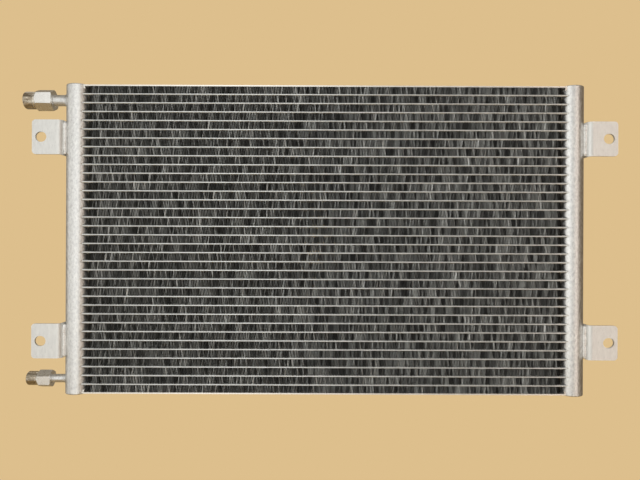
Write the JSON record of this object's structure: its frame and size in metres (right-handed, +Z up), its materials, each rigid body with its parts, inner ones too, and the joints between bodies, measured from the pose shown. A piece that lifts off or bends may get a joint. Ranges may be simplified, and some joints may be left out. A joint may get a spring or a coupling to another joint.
{
  "type": "air conditioning condenser",
  "caption": "Parallel flow air conditioning condenser: flat tubes and folded fins between two upright round headers, with slotted side brackets and threaded pipe fittings",
  "frame": {"origin": "middle of the four bracket slots, on the front faces of the bracket flanges", "axes": "+X to the right seen from the front, +Y from the front of the core to its back, +Z up"},
  "size_m": [0.674, 0.0275, 0.353],
  "materials": {
    "header_aluminium": "brazed, fine satin",
    "tube_aluminium": "extruded, bright edges",
    "fin_aluminium": "thin folded sheet, dull from brazing",
    "bracket_aluminium": "matt rolled plate",
    "fitting_aluminium": "machined, bright"
  },
  "bodies": {
    "root": {"bottom_side_plate": "tube_aluminium", "fin_strips_pass_1": "fin_aluminium", "fin_strips_pass_2": "fin_aluminium", "fin_strips_pass_3": "fin_aluminium", "fin_strips_pass_4": "fin_aluminium", "flat_tube_01": "tube_aluminium", "flat_tube_02": "tube_aluminium", "flat_tube_03": "tube_aluminium", "flat_tube_04": "tube_aluminium", "flat_tube_05": "tube_aluminium", "flat_tube_06": "tube_aluminium", "flat_tube_07": "tube_aluminium", "flat_tube_08": "tube_aluminium", "flat_tube_09": "tube_aluminium", "flat_tube_10": "tube_aluminium", "flat_tube_11": "tube_aluminium", "flat_tube_12": "tube_aluminium", "flat_tube_13": "tube_aluminium", "flat_tube_14": "tube_aluminium", "flat_tube_15": "tube_aluminium", "flat_tube_16": "tube_aluminium", "flat_tube_17": "tube_aluminium", "flat_tube_18": "tube_aluminium", "flat_tube_19": "tube_aluminium", "flat_tube_20": "tube_aluminium", "flat_tube_21": "tube_aluminium", "flat_tube_22": "tube_aluminium", "flat_tube_23": "tube_aluminium", "flat_tube_24": "tube_aluminium", "flat_tube_25": "tube_aluminium", "flat_tube_26": "tube_aluminium", "flat_tube_27": "tube_aluminium", "flat_tube_28": "tube_aluminium", "flat_tube_29": "tube_aluminium", "flat_tube_30": "tube_aluminium", "flat_tube_31": "tube_aluminium", "flat_tube_32": "tube_aluminium", "flat_tube_33": "tube_aluminium", "flat_tube_34": "tube_aluminium", "inlet_fitting": "fitting_aluminium", "inlet_stub_pipe": "header_aluminium", "left_header": "header_aluminium", "left_header_bottom_cap": "header_aluminium", "left_header_top_cap": "header_aluminium", "left_lower_bracket": "bracket_aluminium", "left_upper_bracket": "bracket_aluminium", "outlet_fitting": "fitting_aluminium", "outlet_stub_pipe": "header_aluminium", "pass_baffle_1": "header_aluminium", "pass_baffle_2": "header_aluminium", "pass_baffle_3": "header_aluminium", "right_header": "header_aluminium", "right_header_bottom_cap": "header_aluminium", "right_header_top_cap": "header_aluminium", "right_lower_bracket": "bracket_aluminium", "right_upper_bracket": "bracket_aluminium", "top_side_plate": "tube_aluminium"}
  },
  "joints": []
}
